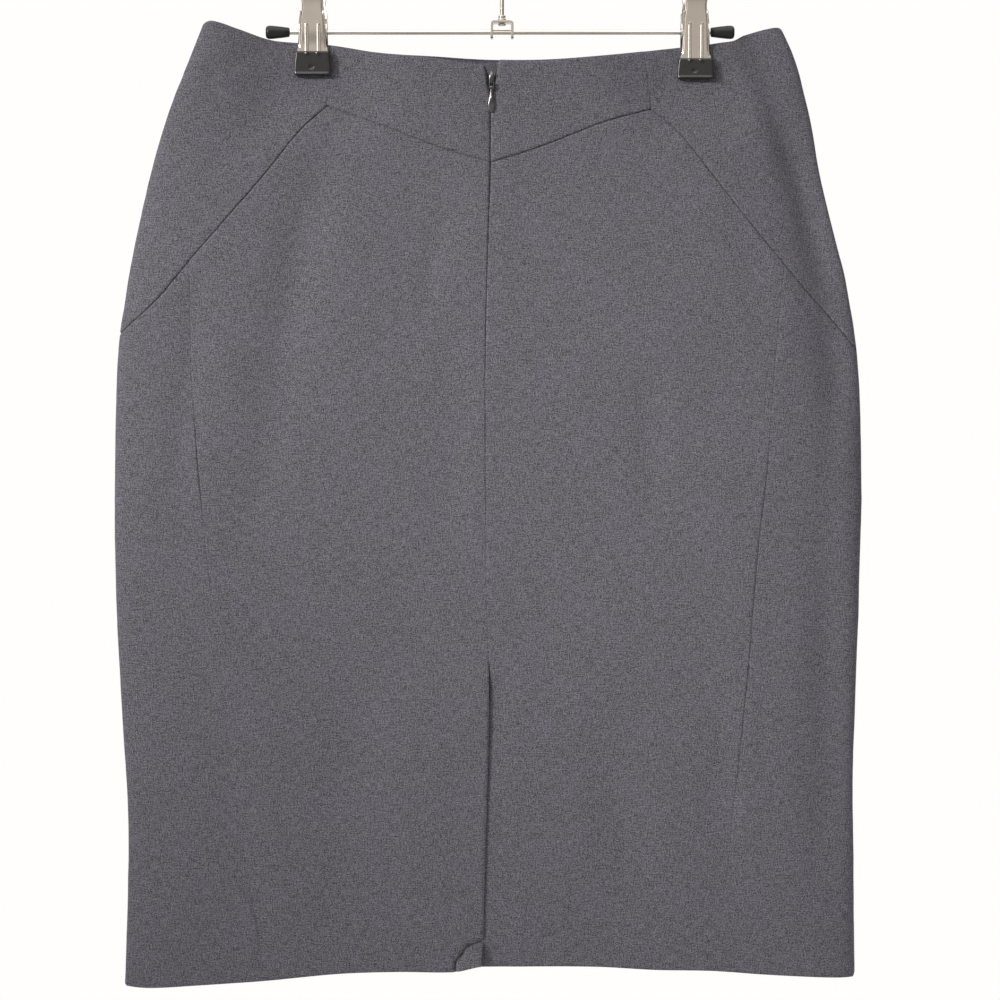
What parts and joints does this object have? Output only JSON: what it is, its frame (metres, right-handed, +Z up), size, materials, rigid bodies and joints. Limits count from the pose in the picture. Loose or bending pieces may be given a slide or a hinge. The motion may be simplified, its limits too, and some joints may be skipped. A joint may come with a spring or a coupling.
{
  "type": "pencil skirt on a clip hanger",
  "caption": "Grey knee-length pencil skirt with a yoke, back zip and back vent, held flat by its waist on a metal clip hanger with a rail hook.",
  "frame": {"origin": "the top of the inside of the hook, where the rail carries it", "axes": "+Z up, +X to the right of someone who faces the skirt's back, +Y towards the skirt's front"},
  "size_m": [0.4787, 0.043, 0.7008],
  "materials": {
    "cloth": "fine grey melange plain weave, matt with a faint sheen",
    "tape": "dark grey woven zip tape",
    "zip_metal": "polished dark nickel",
    "steel": "satin chrome plate",
    "pad": "soft black vinyl, a little glossy",
    "cap": "black rubber"
  },
  "bodies": {
    "skirt": {"back_yoke_left": "cloth", "back_yoke_right": "cloth", "back_hip_left": "cloth", "back_hip_right": "cloth", "back_centre_left": "cloth", "back_centre_right": "cloth", "back_side_left": "cloth", "back_side_right": "cloth", "front": "cloth", "zip_tape": "tape", "zip_slider": "zip_metal", "hanger_bar": "steel", "hanger_cap_left": "cap", "hanger_cap_right": "cap", "hanger_bracket": "steel", "hanger_hook": "steel", "clip_left_front_leg": "steel", "clip_left_rear_leg": "steel", "clip_left_front_pad": "pad", "clip_left_rear_pad": "pad", "clip_left_spring": "steel", "clip_right_front_leg": "steel", "clip_right_rear_leg": "steel", "clip_right_front_pad": "pad", "clip_right_rear_pad": "pad", "clip_right_spring": "steel"},
    "pull_tab": {"zip_pull": "zip_metal"}
  },
  "joints": [
    {"name": "pull_tab_swing", "type": "hinge", "parent": "skirt", "child": "pull_tab", "pos_m": [-0.0068, -0.0084, -0.1242], "axis": [-1, 0, 0], "range_deg": [0, 150]}
  ]
}
